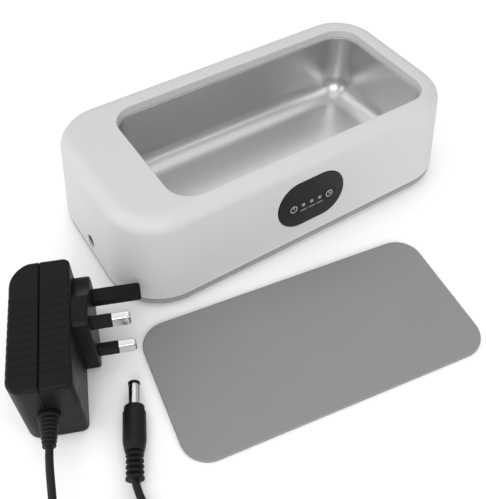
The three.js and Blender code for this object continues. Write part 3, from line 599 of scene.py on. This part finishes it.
def plug(looks):
    """The barrel plug. In its own frame Z is its axis, out of the tip, and 0 is at the tip."""
    place = frame_at(PLUG_PLACE["x"], PLUG_PLACE["y"], FLOOR + PLUG["handle"], PLUG_PLACE["turn"])
    place = place @ Matrix.Rotation(-math.pi / 2, 4, "X")
    radius = PLUG["barrel"]
    handle = plug_handle()
    barrel = turned("plug_barrel", [
        (0, -PLUG["barrel_length"]), (radius, -PLUG["barrel_length"]), (radius, -2.45), (2.68, -2.3),
        (2.3, -2.2), (2.3, -1.5), (1.62, -1.5), (1.5, -1.7), (1.5, -9), (0, -9)])
    tip = turned("plug_tip", [
        (1.4, -1.2), (radius - 0.05, -1.2), (radius, -1.1), (radius, -0.4), (2.62, -0.12), (2.35, 0),
        (1.4, 0), (1.25, -0.15), (1.25, -1.1), (1.4, -1.2)])
    for piece, slot, node in (
        (handle, "cord_black", "dc_plug_handle"),
        (barrel, "plated_metal", "dc_plug_barrel"),
        (tip, "black_plastic", "dc_plug_tip"),
    ):
        placed(piece, place)
        finished(piece, "housing", looks[slot], slot, node)
    return [handle, barrel, tip]


# ---------------------------------------------------------------- case and base
def case_ring(z, inset):
    """The case's outline at height z, moved in from its outer face."""
    spread = DRAFT * (SHOULDER - z) - inset
    return ring(CASE["length"] + 2 * spread, CASE["width"] + 2 * spread, CASE["corner"] + spread, z)


def edge_rings(inset, radius, steps):
    """The rings of a rounded top edge, moved in from the case's outer faces, up to its flat deck."""
    rings = []
    for inwards, down in quarter(steps):
        sunk = inset + radius * inwards
        z = CASE["top"] - inset - radius * down
        rings.append(ring(CASE["length"] - 2 * sunk, CASE["width"] - 2 * sunk, CASE["corner"] - sunk, z))
    return rings


def opening_centre():
    low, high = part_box("tank")
    return ((low.x + high.x) / 2 / MM, (low.y + high.y) / 2 / MM)


def opening_ring(z, grow):
    length, width = OPENING["length"] + 2 * grow, OPENING["width"] + 2 * grow
    return ring(length, width, OPENING["corner"] + grow, z, opening_centre())


def panel_place():
    """The panel's own frame: X along it, Y up the sloping front wall and Z out of it, with 0 on the wall."""
    y = -(CASE["width"] / 2 + DRAFT * (SHOULDER - PANEL["z"]))
    place = Matrix.Translation(Vector((PANEL["x"], y, PANEL["z"])) * MM)
    return place @ Matrix.Rotation(math.pi / 2 - math.atan(DRAFT), 4, "X")


def jack_place():
    """The jack's own frame: X up, Z out of its mouth, and 0 at the front of its square body."""
    place = Matrix.Translation(Vector((-CASE["length"] / 2, JACK["y"], JACK["z"])) * MM)
    return place @ Matrix.Rotation(-math.pi / 2, 4, "Y")


def case_rings():
    """The case's section: up the outer wall, over the deck, down the opening, and back inside the wall."""
    deck, bottom, lower = CASE["top"], CASE["bottom"], CASE["lower_edge"]
    wall, inner, lip, bevel = CASE["wall"], OPENING["wall"], OPENING["lip"], OPENING["bevel"]
    under = deck - OPENING["depth"]
    return [
        *[case_ring(bottom + lower * down, lower * inwards) for inwards, down in reversed(quarter(4))],
        *edge_rings(0, CASE["edge"], steps=14),
        *[opening_ring(deck - lip * inwards, lip * down) for inwards, down in quarter(6)],
        opening_ring(under + bevel, 0),
        opening_ring(under, bevel),
        opening_ring(under, inner),
        opening_ring(deck - wall, inner),
        *reversed(edge_rings(wall, CASE["inner_edge"], steps=6)),
        case_ring(SHOULDER, wall),
        case_ring(bottom, wall),
    ]


def upper_case(looks):
    case = skin("case", case_rings(), closed=True)
    bosses = [post(BOSS["radius"], *BOSS["span"], x, y) for _, x, y in corners_of(SCREW)]
    pilots = [post(BOSS["pilot"], *BOSS["pilot_span"], x, y, 24) for _, x, y in corners_of(SCREW)]
    window = skin("window", [stadium(PANEL["length"], PANEL["height"], z) for z in PANEL["window"]])
    window.data.transform(panel_place())
    hole = post(JACK["hole"], *JACK["hole_span"], steps=ROUND_STEPS)
    hole.data.transform(jack_place())
    cut(join(case, *bosses), *pilots, window, hole)
    finished(case, "housing", looks["white_plastic"], "white_plastic", "upper_shell")


def base(looks):
    def outline(size, z, inset=0):
        return ring(size["length"] - 2 * inset, size["width"] - 2 * inset, size["corner"] - inset, z)

    top, edge, upper = BASE["top"], BASE["edge"], BASE["upper_edge"]
    rings = [outline(BASE, edge * down, edge * inwards) for inwards, down in reversed(quarter(8))]
    rings += [outline(BASE, top - upper), outline(BASE, top, upper), outline(TONGUE, top)]
    rings += [outline(TONGUE, TONGUE["top"]), outline(TONGUE, TONGUE["top"], TONGUE["wall"])]
    rings.append(outline(TONGUE, BASE["floor"], TONGUE["wall"]))
    tray = skin("base", rings)
    spots = [(x, y) for _, x, y in corners_of(SCREW)]
    pillars = [post(PILLAR["radius"], *PILLAR["span"], *spot) for spot in spots]
    bores = [post(PILLAR["counterbore"], -PAST, SCREW["seat"], *spot) for spot in spots]
    bore_span = (SCREW["seat"] - PAST, PILLAR["span"][1] + PAST)
    bores += [post(PILLAR["bore"], *bore_span, *spot, 24) for spot in spots]
    bores += [post(FOOT["radius"] + GAP, -PAST, FOOT["recess"], x, y) for _, x, y in corners_of(FOOT)]
    cut(join(tray, *pillars), *bores)
    finished(tray, "housing", looks["grey_plastic"], "grey_plastic", "base_cover")


def feet(looks):
    radius, top = FOOT["radius"], FOOT["top"]
    for name, x, y in corners_of(FOOT):
        foot = turned(f"rubber_foot_{name}", [
            (0, FLOOR + 0.25), (1.6, FLOOR + 0.25), (1.9, FLOOR), (4.1, FLOOR), (4.55, FLOOR + 0.12),
            (4.85, FLOOR + 0.42), (radius, FLOOR + 0.9), (radius, top), (0, top)])
        shifted(foot, x, y)
        finished(foot, "housing", looks["foot_rubber"], "foot_rubber", f"foot_{name}")


def screws(looks):
    """Pan-head screws with a cross recess, driven up into the case's bosses."""
    head, shank, root, pitch = SCREW["head"], SCREW["shank"], SCREW["root"], SCREW["thread"]
    seat = SCREW["seat"] - GAP
    end = seat + SCREW["length"]
    arm, half, span = CROSS["arm"], CROSS["half_width"], CROSS["span"]
    for name, x, y in corners_of(SCREW):
        profile = [
            (0, seat - 2), (1.2, seat - 1.97), (2, seat - 1.8), (2.5, seat - 1.4), (head, seat - 0.9),
            (head, seat),
        ]
        z = seat
        while z < end - SCREW["point"]:
            crest = [(shank, z + 0.45 * pitch), (shank, z + 0.55 * pitch)]
            profile += [(root, z + 0.1 * pitch), *crest, (root, z + 0.9 * pitch)]
            z += pitch
        profile.append((0, end))
        screw = turned(f"cover_screw_{name}", profile, 32)
        cut(screw, block(-arm, arm, -half, half, *span), block(-half, half, -arm, arm, *span))
        shifted(screw, x, y)
        finished(screw, "housing", looks["plated_metal"], "plated_metal", f"base_screw_{name}")


# ---------------------------------------------------------------- tank
def tank_ring(z, inset):
    inside = TANK["ledge"] + inset
    corner = max(OPENING["corner"] - inside, TANK["corner"])
    return ring(OPENING["length"] - 2 * inside, OPENING["width"] - 2 * inside, corner, z, opening_centre())


def fillet_rings(out):
    """The tank's inner face from its floor up to its wall, moved out by that much."""
    floor, fillet = TANK["floor"], TANK["fillet"]
    wall_inset = TANK["draft"] * (TANK_TOP - floor - fillet)
    reach = fillet + out
    return [tank_ring(floor + fillet - reach * (1 - inwards), wall_inset + fillet - reach * (1 - down))
            for inwards, down in quarter(16)]


def tank(looks):
    sheet, bend, flange = TANK["sheet"], TANK["bend"], TANK["flange"]
    top = TANK_TOP + TANK["rise"]
    rings = fillet_rings(sheet)
    rings += [tank_ring(top - sheet, -sheet), tank_ring(top - sheet, -flange), tank_ring(top, -flange)]
    rings += [tank_ring(top - bend * inwards, -bend * down) for inwards, down in quarter(5)]
    rings += reversed(fillet_rings(0))
    finished(skin("tank_bowl", rings), "housing", looks["steel"], "steel", "tank")


# ---------------------------------------------------------------- panel
def bar(x0, x1, y0, y1, z0, z1, corner=0.2):
    """A thin flat bar with round corners."""
    centre = ((x0 + x1) / 2, (y0 + y1) / 2)
    return skin("bar", [ring(x1 - x0, y1 - y0, corner, z, centre, steps=5) for z in (z0, z1)])


def panel_plate(looks, place):
    proud, edge = PANEL["proud"], PANEL["edge"]
    length, height = PANEL["length"] - 2 * GAP, PANEL["height"] - 2 * GAP
    rings = [stadium(length, height, FLANGE["bottom"])]
    for inwards, down in quarter(5):
        rings.append(stadium(length - 2 * edge * inwards, height - 2 * edge * inwards, proud - edge * down))
    plate = skin("panel_plate", rings)
    wide, tall = length + FLANGE["length"], height + FLANGE["height"]
    flange = skin("flange", [stadium(wide, tall, FLANGE["bottom"]), stadium(wide, tall, FLANGE["top"])])
    key_hole, light_hole = BUTTON["radius"] + BUTTON["play"], LED["radius"] + LED["play"]
    holes = [post(key_hole, *PANEL["holes"], side * BUTTON["x"], BUTTON["y"], 64) for side in (-1, 1)]
    holes += [post(light_hole, *PANEL["holes"], i * LED["pitch"], LED["y"], 32) for i in (-1, 0, 1)]
    cut(join(plate, flange), *holes)
    placed(plate, place)
    finished(plate, "housing", looks["panel_black"], "panel_black", "panel_bezel")


def panel_dashes(looks, place, root, top):
    """Plain dashes in place of the words under the lights."""
    half, tall, y = DASH["length"] / 2, DASH["height"] / 2, DASH["y"]
    dashes = []
    for i in (-1, 0, 1):
        x = i * LED["pitch"]
        dashes.append(bar(x - half, x + half, y - tall, y + tall, root, top, DASH["corner"]))
    marks = placed(merged("panel_dashes", dashes), place)
    finished(marks, "housing", looks["dash_ink"], "led_lens")


def light_pipes(looks, place):
    radius, foot, back, foot_top = LED["radius"], LED["foot"], LED["back"], LED["foot_top"]
    proud = PANEL["proud"]
    for i in (-1, 0, 1):
        dome = turned(f"light_pipe_{i + 2}", [
            (0, back), (foot, back), (foot, foot_top), (radius, foot_top), (radius, proud - 0.1),
            (radius - 0.1, proud + 0.05), (0.7, proud + 0.14), (0, proud + 0.17)], 40)
        placed(shifted(dome, i * LED["pitch"], LED["y"]), place)
        finished(dome, "housing", looks["led_lens"], "led_lens", f"led_lens_{i + 2}")


def key(looks, place, name, side, root, top):
    """A round key with its icon. It rides on a body of its own."""
    body = f"{name}_button"
    radius, rim, back, rim_top = BUTTON["radius"], BUTTON["rim"], BUTTON["back"], BUTTON["rim_top"]
    proud = PANEL["proud"]
    cap = turned(f"{name}_key", [
        (0, back), (rim, back), (rim, rim_top), (radius, rim_top), (radius, proud - 0.3),
        (radius - 0.09, proud - 0.09), (radius - 0.3, proud), (0, proud)])
    placed(shifted(cap, side * BUTTON["x"], BUTTON["y"]), place)
    finished(cap, body, looks["panel_black"], "panel_black", body)
    outer = ICON["outer"]
    inner = outer - ICON["line"]
    hands = [bar(*sides, root, top - lower) for *sides, lower in HANDS[name]]
    circle = hoop("circle", [(inner, root), (outer, root), (outer, top), (inner, top)])
    icon = merged(f"{name}_icon", [circle, *hands])
    placed(shifted(icon, side * BUTTON["x"], BUTTON["y"]), place)
    finished(icon, body, looks["icon_ink"], "led_lens")


def panel(looks):
    place = panel_place()
    root, top = PANEL["proud"] + MARK["root"], PANEL["proud"] + MARK["lift"]
    panel_plate(looks, place)
    panel_dashes(looks, place, root, top)
    light_pipes(looks, place)
    for name, side in (("power", -1), ("timer", 1)):
        key(looks, place, name, side, root, top)


# ---------------------------------------------------------------- jack
def jack(looks):
    place = jack_place()
    collar, bore = JACK["collar"], JACK["bore"]
    socket = turned("jack_socket", [
        (0, -1), (collar, -1), (collar, 2.9), (collar - 0.08, 3.12), (collar - 0.2, 3.2), (0, 3.2)])
    low, high = JACK_BODY["rise"] - JACK_BODY["height"] / 2, JACK_BODY["rise"] + JACK_BODY["height"] / 2
    side = JACK_BODY["width"] / 2
    body = block(low, high, -side, side, -JACK_BODY["length"], 0)
    mouth = turned("mouth", [(0, -8), (bore, -8), (bore, 3.05), (bore + 0.25, 3.3), (0, 3.3)])
    cut(join(socket, body), mouth)
    placed(socket, place)
    finished(socket, "housing", looks["component"], "component", "dc_jack")
    pin = turned("jack_pin", [(0, -7.7), (1, -7.7), (1, 0.6), (0.85, 0.95), (0.5, 1.15), (0, 1.2)], 32)
    placed(pin, place)
    finished(pin, "housing", looks["plated_metal"], "plated_metal", "dc_jack_pin")


# ---------------------------------------------------------------- lid
def lid(looks):
    edge, thick = LID["edge"], LID["thickness"]

    def outline(z, inset):
        return ring(LID["length"] - 2 * inset, LID["width"] - 2 * inset, LID["corner"] - inset, z, steps=24)

    rings = [outline(edge * down, edge * inwards) for inwards, down in reversed(quarter(5))]
    rings += [outline(thick - edge * down, edge * inwards) for inwards, down in quarter(5)]
    plate = skin("lid_plate", rings)
    placed(plate, frame_at(LID_PLACE["x"], LID_PLACE["y"], FLOOR, LID_PLACE["turn"]))
    finished(plate, "lid", looks["lid_plastic"], "lid_plastic", "lid")


# ---------------------------------------------------------------- adaptor
def arc_fall(y, end, radius):
    """How far a corner of that radius has come in at height y, between end faces at plus and minus end."""
    past = abs(y) - (end - radius)
    if past <= 0:
        return 0
    return radius - math.sqrt(max(0, radius * radius - past * past))


def rib_depth(y):
    """The ribs' grooves across the case's two narrow sides."""
    if not RIB["last"] <= y <= RIB["first"]:
        return 0
    crest = abs(math.sin(math.pi * (y - RIB["first"]) / RIB["pitch"]))
    return RIB["depth"] * (1 - crest ** 0.7)


def case_heights(end):
    """The heights of the adaptor case's cross sections: close together in the round ends and the ribs."""
    heights = {-end, end}
    for radius in (ADAPTOR["edge"], *ADAPTOR_CORNERS.values()):
        for _, down in quarter(8):
            height = end - radius * down
            heights |= {round(height, 4), round(-height, 4)}
    steps = 12
    count = round((RIB["first"] - RIB["last"]) / RIB["pitch"] * steps)
    heights |= {round(RIB["last"] + i * RIB["pitch"] / steps, 4) for i in range(count + 1)}
    ordered = sorted(h for h in heights if -end <= h <= end)
    closest = 0.02
    return [h for h, after in zip(ordered, ordered[1:] + [end + 1]) if after - h > closest]


def half_case(name, side, inset=0):
    """One half of the adaptor's case as a full solid: side 1 is the half with the pins, -1 the back."""
    end = TOP - inset
    edge = ADAPTOR["edge"]
    seam = -1 if inset else GAP / 2
    chamfer = 0.01 if inset else ADAPTOR["chamfer"]
    rings = []
    for y in case_heights(end):
        corner = ADAPTOR_CORNERS["front" if side > 0 else "back_high" if y > 0 else "back_low"]
        reach = FACE - inset - arc_fall(y, end, corner - inset)
        half = MID - inset - arc_fall(y, end, edge) - (0 if inset else rib_depth(y))
        radius = max(0.05, min(edge, 0.9 * (reach - seam - chamfer)))
        outline = [(seam, half - chamfer), (seam + chamfer, half)]
        outline += [
            (reach - radius * inwards, half - radius * down) for inwards, down in reversed(quarter(6))]
        outline += [(x, -z) for x, z in reversed(outline)]
        rings.append([(side * x, y, MID + z) for x, z in outline])
    return skin(name, rings)


def boss_outline(inset):
    """The plug-shaped boss: round at the earth pin, then its flanks sweep out to the two power pins."""
    flank = [
        (0, 33.2), (3.5, 33.1), (6.6, 32.2), (8.8, 30.4), (9.8, 28), (10.2, 25.2), (11, 22.2), (12.6, 19.2),
        (15, 16.4), (17.4, 14), (18.9, 11.6), (19.5, 9), (19.5, 0), (19, -2.2), (17.6, -3.6), (15.4, -4),
    ]
    points = flank + [(-z, y) for z, y in reversed(flank[1:])]
    moved = []
    for i, (z, y) in enumerate(points):
        before, after = points[i - 1], points[(i + 1) % len(points)]
        along = Vector((after[0] - before[0], after[1] - before[1])).normalized()
        moved.append((z + along.y * inset, y - along.x * inset))
    return moved


def boss():
    lip = PIN_BOSS["lip"]
    stations = [(FACE - PAST, 0)] + [(PIN_FACE - lip * down, lip * inwards) for inwards, down in quarter(4)]
    return skin("boss", [[(x, y, MID + z) for z, y in boss_outline(inset)] for x, inset in stations])


def blade(name, x0, x1, tall, wide, pin, y, z):
    """A pin along X with a rounded end."""
    nose = pin["nose"]
    rings = []
    for x, inwards in [(x0, 0)] + [(x1 - nose * down, inwards) for inwards, down in quarter(8)]:
        shrink = nose * inwards
        corner = min(pin["corner"], (tall - shrink) / 2 - 0.05)
        outline = ring(tall - shrink, wide - shrink, corner, 0, steps=6)
        rings.append([(x, y + a, z + b) for a, b, _ in outline])
    return skin(name, rings)


def relief_hole():
    reach, radius = 2 * ADAPTOR["wall"], RELIEF["neck"] + GAP
    hole = turned("hole", [(0, -reach), (radius, -reach), (radius, reach), (0, reach)], along_y=True)
    return shifted(hole, 0, -TOP, MID)


def pin_slot(y, z, tall, wide):
    """A cutter for a pin's slot through the front, with a gap all round the pin."""
    up, side = tall / 2 + GAP, wide / 2 + GAP
    return block(FACE - 2 * ADAPTOR["wall"], PIN_FACE + PAST, y - up, y + up, z - side, z + side)


def power_pin(name, z):
    """The metal pin, with its thin core inside the sleeve, and the sleeve round its root."""
    start = PIN_FACE + POWER_PIN["sleeve"]
    tall, wide, y = POWER_PIN["thick"], POWER_PIN["wide"], POWER_PIN["y"]
    up, side = PIN_CORE["thick"] / 2, PIN_CORE["wide"] / 2
    tip = blade(f"{name}_blade", start + GAP, PIN_FACE + POWER_PIN["reach"], tall, wide, POWER_PIN, y, z)
    join(tip, block(PIN_ROOT, start + PAST, y - up, y + up, z - side, z + side))
    bevel = SLEEVE["bevel"]
    sleeve = skin(f"{name}_sleeve", [
        [(x, y + a, z + b) for a, b, _ in ring(tall - s, wide - s, SLEEVE["corner"], 0, steps=6)]
        for x, s in ((PIN_ROOT, 0), (start - bevel, 0), (start, bevel))])
    up, side = up + GAP, side + GAP
    cut(sleeve, block(PIN_ROOT - PAST, start + PAST, y - up, y + up, z - side, z + side))
    return [(tip, "plated_metal", f"{name}_pin"), (sleeve, "black_plastic", f"{name}_pin_sleeve")]


def strain_relief():
    """The tapered, ridged sleeve where the lead leaves the adaptor."""
    inside = TOP - ADAPTOR["wall"] - GAP
    start = TOP + RELIEF["collar_length"]
    neck, collar = RELIEF["neck"], RELIEF["collar"]
    root = neck + RELIEF["root"]
    profile = [
        (0, inside - RELIEF["root_length"]), (root, inside - RELIEF["root_length"]), (root, inside),
        (neck, inside), (neck, TOP + GAP), (collar - 0.15, TOP + GAP), (collar, TOP + 0.5),
        (collar, start - 0.3), (collar - 0.3, start),
    ]
    ridges = RELIEF["ridges"]
    pitch = (RELIEF["length"] - RELIEF["collar_length"]) / ridges
    first = collar - 0.4
    for i in range(ridges):
        y = start + i * pitch
        radius = first + (RELIEF["tip"] - first) * (i + 0.5) / ridges
        profile += [
            (radius - 0.5, y + 0.12 * pitch), (radius - 0.5, y + 0.35 * pitch),
            (radius - 0.1, y + 0.42 * pitch), (radius, y + 0.55 * pitch), (radius, y + 0.85 * pitch),
            (radius - 0.12, y + 0.95 * pitch),
        ]
    profile.append((0, TOP + RELIEF["length"]))
    relief = turned("lead_relief", [(r, -y) for r, y in profile], 48, along_y=True)
    return shifted(relief, 0, 0, MID)


def adaptor(looks):
    """The adaptor. In its own frame X is out of its face, Y along its case and Z up, with 0 on the floor."""
    place = frame_at(ADAPTOR_PLACE["x"], ADAPTOR_PLACE["y"], FLOOR, ADAPTOR_PLACE["turn"])
    power_z = {"live": MID - POWER_PIN["side"], "neutral": MID + POWER_PIN["side"]}
    wall = ADAPTOR["wall"]
    front = join(half_case("adaptor_front", 1), boss())
    slots = [pin_slot(POWER_PIN["y"], z, POWER_PIN["thick"], POWER_PIN["wide"]) for z in power_z.values()]
    slots.append(pin_slot(EARTH_PIN["y"], MID, EARTH_PIN["tall"], EARTH_PIN["thick"]))
    cut(front, half_case("hollow", 1, wall), relief_hole(), *slots)
    back = cut(half_case("adaptor_back", -1), half_case("hollow", -1, wall), relief_hole())
    earth = blade("earth_blade", PIN_ROOT, PIN_FACE + EARTH_PIN["reach"], EARTH_PIN["tall"],
                  EARTH_PIN["thick"], EARTH_PIN, EARTH_PIN["y"], MID)
    parts = [
        (front, "black_plastic", "adaptor_front_shell"),
        (back, "black_plastic", "adaptor_back_shell"),
        (earth, "black_plastic", "earth_pin"),
    ]
    for name, z in power_z.items():
        parts += power_pin(name, z)
    parts.append((strain_relief(), "cord_black", "adaptor_strain_relief"))
    for piece, slot, node in parts:
        placed(piece, place)
        finished(piece, "housing", looks[slot], slot, node)


# ---------------------------------------------------------------- what stays as the CAD has it
def dress_nodes(looks):
    """Gives each CAD node that still shows the material of its slot."""
    for row in frame["record"]["subparts"]:
        node = frame["nodes"][row["node"]]
        if node.hide_render:
            continue
        node.data.materials.clear()
        node.data.materials.append(looks[row["material_slot"]])


# ---------------------------------------------------------------- floor and light
def paper_floor():
    paper = Look("floor_paper", grey(0.97), 0.8, Specular_IOR_Level=0.2)
    paper.vary_colour(paper.noise(60, 2), 0.005)
    half = PAPER["half"]
    floor = block(-half, half, -half, half, PAPER["bottom"], PAPER["top"])
    floor.name = "floor"
    floor.data.materials.append(paper.material)


def studio():
    scene = bpy.context.scene
    scene.view_settings.view_transform = "Standard"
    paper_floor()
    world = bpy.data.worlds.new("studio")
    world.use_nodes = True
    world.node_tree.nodes["Background"].inputs["Color"].default_value = (1, 1, 1, 1)
    world.node_tree.nodes["Background"].inputs["Strength"].default_value = AMBIENT
    scene.world = world
    for name, place, size, power in LIGHTS:
        light = bpy.data.lights.new(name, "AREA")
        light.size = size
        light.energy = power
        made = bpy.data.objects.new(name, light)
        made.location = place
        made.rotation_euler = (LIT_POINT - Vector(place)).to_track_quat("-Z", "Y").to_euler()
        scene.collection.objects.link(made)


# ---------------------------------------------------------------- the scene
camera()
looks = make_looks()
plug_pieces = plug(looks)
lead(looks, [*plug_pieces, tie(looks)])
upper_case(looks)
base(looks)
feet(looks)
screws(looks)
tank(looks)
panel(looks)
jack(looks)
lid(looks)
adaptor(looks)
dress_nodes(looks)
studio()
